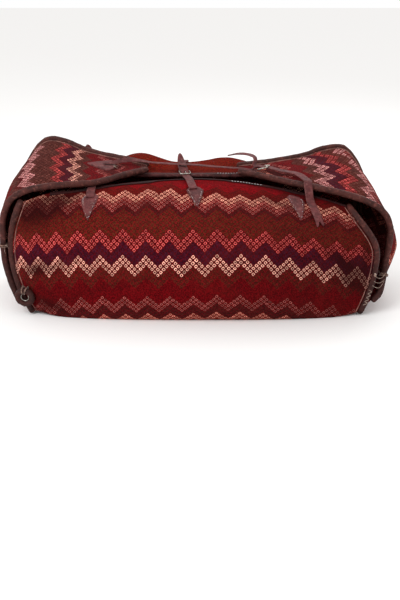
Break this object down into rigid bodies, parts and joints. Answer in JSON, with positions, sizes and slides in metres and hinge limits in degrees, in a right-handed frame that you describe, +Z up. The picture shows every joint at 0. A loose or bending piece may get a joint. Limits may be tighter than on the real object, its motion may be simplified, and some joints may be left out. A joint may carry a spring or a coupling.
{
  "type": "bedding bag",
  "caption": "Long stuffed woven bedding bag with end flaps folded over its mouth, rolled leather edges, arrow-shaped leather patches, straps and buckles.",
  "frame": {"origin": "middle of the flat bottom that it rests on", "axes": "+X along the bag towards the end with the torn strap, +Y from the front to the back, +Z up"},
  "size_m": [1.0977, 0.5032, 0.4124],
  "materials": {
    "wool": "coarse flat-woven wool in narrow zigzag bands",
    "edge_leather": "worn matt reddish brown leather, rolled",
    "binding_leather": "dark purplish brown leather, folded over the cloth",
    "strap_leather": "worn dusty brown leather",
    "thong": "pale rawhide lace",
    "buckle_metal": "dull worn steel wire"
  },
  "bodies": {
    "root": {"body_cloth": "wool", "left_end_cloth": "wool", "right_end_cloth": "wool", "left_side_binding": "edge_leather", "right_side_binding": "edge_leather", "left_flap_front_piping": "edge_leather", "left_flap_back_piping": "edge_leather", "right_flap_front_piping": "edge_leather", "right_flap_back_piping": "edge_leather", "corner_loop": "edge_leather", "front_mouth_binding": "binding_leather", "back_mouth_binding": "binding_leather", "front_left_patch": "strap_leather", "front_middle_patch": "strap_leather", "front_right_patch": "strap_leather", "back_left_patch": "strap_leather", "back_middle_patch": "strap_leather", "back_right_patch": "strap_leather", "left_strap": "strap_leather", "middle_strap": "strap_leather", "middle_chape": "strap_leather", "left_flap_pad": "strap_leather", "long_strap": "strap_leather", "right_strap": "strap_leather", "corner_loop_tie": "thong", "left_piping_tie": "thong", "right_piping_tie": "thong", "middle_buckle_frame": "buckle_metal", "middle_buckle_prong": "buckle_metal", "right_buckle_frame": "buckle_metal", "right_buckle_prong": "buckle_metal", "corner_ring": "buckle_metal"}
  },
  "joints": []
}
